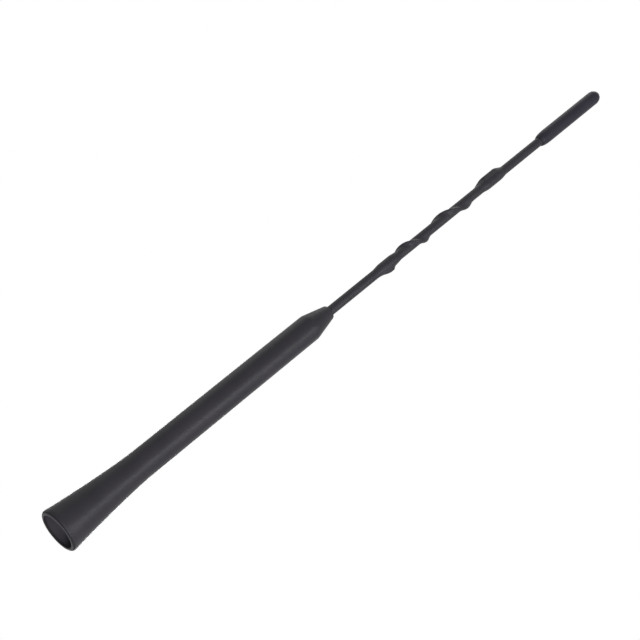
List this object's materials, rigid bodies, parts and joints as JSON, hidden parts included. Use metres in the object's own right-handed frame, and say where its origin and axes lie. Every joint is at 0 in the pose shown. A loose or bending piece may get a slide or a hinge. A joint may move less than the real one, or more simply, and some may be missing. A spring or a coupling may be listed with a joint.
{
  "type": "car mast aerial",
  "caption": "Screw-on car roof mast aerial with a flared rubber grip, a thin sheathed whip with a spiral ridge, and a long smooth tip cap.",
  "frame": {"origin": "centre of the foot's seating rim, on the axis of the threaded hole", "axes": "+Z along the mast from the foot to the tip; +X is the side on which the spiral ridge starts"},
  "size_m": [0.0178, 0.0178, 0.3276],
  "materials": {
    "grip_rubber": "matt moulded rubber with a fine grain",
    "dark_plated_metal": "dull dark plating on turned metal",
    "pale_plastic": "plain moulded plastic",
    "copper_wire": "enamelled copper wire",
    "shrink_tube": "matt shrink tube",
    "brass": "turned brass",
    "fibreglass": "drawn glass fibre rod",
    "whip_sheath": "satin shrink sheath",
    "cap_plastic": "satin moulded plastic"
  },
  "bodies": {
    "root": {"grip_sleeve": "grip_rubber", "threaded_insert": "dark_plated_metal", "coil_former": "pale_plastic", "loading_coil": "copper_wire", "coil_shrink_tube": "shrink_tube", "rod_ferrule": "brass", "fibreglass_rod": "fibreglass", "whip_wire": "copper_wire", "lower_band": "shrink_tube", "upper_band": "shrink_tube", "spiral_cord": "pale_plastic", "rod_sleeve": "whip_sheath", "tip_ferrule": "brass", "tip_cap": "cap_plastic"}
  },
  "joints": []
}
